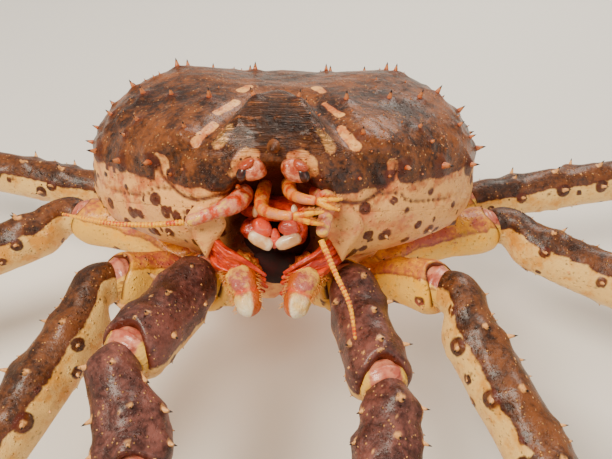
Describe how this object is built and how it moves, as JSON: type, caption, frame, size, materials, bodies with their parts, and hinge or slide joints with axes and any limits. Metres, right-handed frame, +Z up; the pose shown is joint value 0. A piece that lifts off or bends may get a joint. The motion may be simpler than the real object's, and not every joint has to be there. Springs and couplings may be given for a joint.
{
  "type": "red king crab",
  "caption": "Life-size red king crab standing on its walking legs, spiny shell raised at the front, claws reaching down ahead.",
  "frame": {"origin": "on the floor, at the middle of the animal's reach in X and Y", "axes": "+X towards the animal's left, -Y the way it faces, +Z up"},
  "size_m": [0.9572, 0.5526, 0.1928],
  "materials": {
    "shell": "wet",
    "belly": "wet",
    "limb": "wet",
    "joint": "wet",
    "eye": "wet",
    "feeler": "wet",
    "mouth": "wet",
    "claw": "wet"
  },
  "bodies": {
    "root": {"carapace": "shell", "flank_left": "belly", "flank_right": "belly", "breastplate": "belly", "tail": "belly", "eye_left": "eye", "eye_right": "eye", "mouth": "mouth", "maxilliped_left": "mouth", "maxilliped_right": "mouth", "antenna_left": "feeler", "antenna_right": "feeler", "antenna_whip_left": "feeler", "antenna_whip_right": "feeler", "antennule_left": "feeler", "antennule_right": "feeler", "leg_1_left_base": "joint", "leg_1_left_merus": "limb", "leg_1_left_carpus": "limb", "leg_1_left_propodus": "limb", "leg_1_left_dactyl": "limb", "leg_2_left_base": "joint", "leg_2_left_merus": "limb", "leg_2_left_carpus": "limb", "leg_2_left_propodus": "limb", "leg_2_left_dactyl": "limb", "leg_3_left_base": "joint", "leg_3_left_merus": "limb", "leg_3_left_carpus": "limb", "leg_3_left_propodus": "limb", "leg_3_left_dactyl": "limb", "arm_left_base": "joint", "arm_left_merus": "limb", "arm_left_carpus": "limb", "arm_left_palm": "limb", "arm_left_fixed_finger": "claw", "arm_left_moving_finger": "claw", "leg_1_right_base": "joint", "leg_1_right_merus": "limb", "leg_1_right_carpus": "limb", "leg_1_right_propodus": "limb", "leg_1_right_dactyl": "limb", "leg_2_right_base": "joint", "leg_2_right_merus": "limb", "leg_2_right_carpus": "limb", "leg_2_right_propodus": "limb", "leg_2_right_dactyl": "limb", "leg_3_right_base": "joint", "leg_3_right_merus": "limb", "leg_3_right_carpus": "limb", "leg_3_right_propodus": "limb", "leg_3_right_dactyl": "limb", "arm_right_base": "joint", "arm_right_merus": "limb", "arm_right_carpus": "limb", "arm_right_palm": "limb", "arm_right_fixed_finger": "claw", "arm_right_moving_finger": "claw"}
  },
  "joints": []
}
